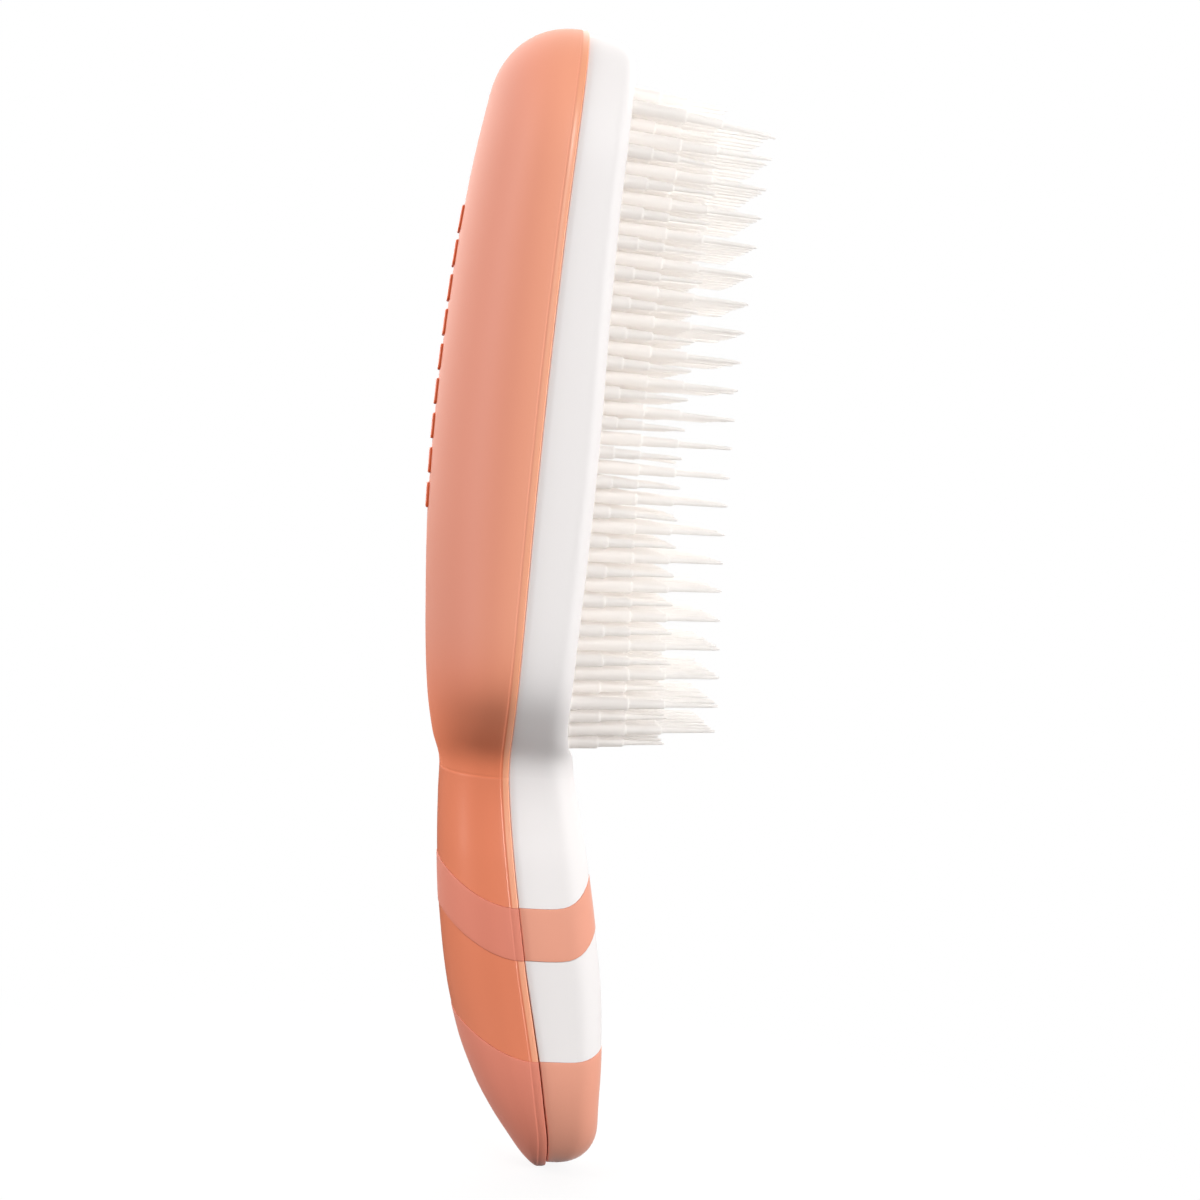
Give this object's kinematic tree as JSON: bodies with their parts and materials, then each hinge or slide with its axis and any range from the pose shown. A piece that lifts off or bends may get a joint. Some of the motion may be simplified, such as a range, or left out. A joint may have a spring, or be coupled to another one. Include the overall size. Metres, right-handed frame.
{
  "type": "hair brush",
  "caption": "Styling hair brush with a long rounded head, a pad of long and short stepped teeth, and a curved two-colour handle with soft grip bands.",
  "frame": {"origin": "middle of the hand grip, inside the handle, on the brush's plane of symmetry", "axes": "+Z along the brush from the handle's end to the top of the head, +X the way the teeth point, +Y across the width"},
  "size_m": [0.0591, 0.06, 0.2249],
  "materials": {
    "back_shell": "satin coral",
    "front_shell": "satin white",
    "teeth": "soft off-white, slightly translucent",
    "grip": "matte soft-touch coral"
  },
  "bodies": {
    "root": {"back_cover": "back_shell", "front_cover": "front_shell", "tooth_pad": "teeth", "back_grip_band": "grip", "back_grip_end": "grip", "front_grip_band": "grip", "front_grip_end": "grip"}
  },
  "joints": []
}
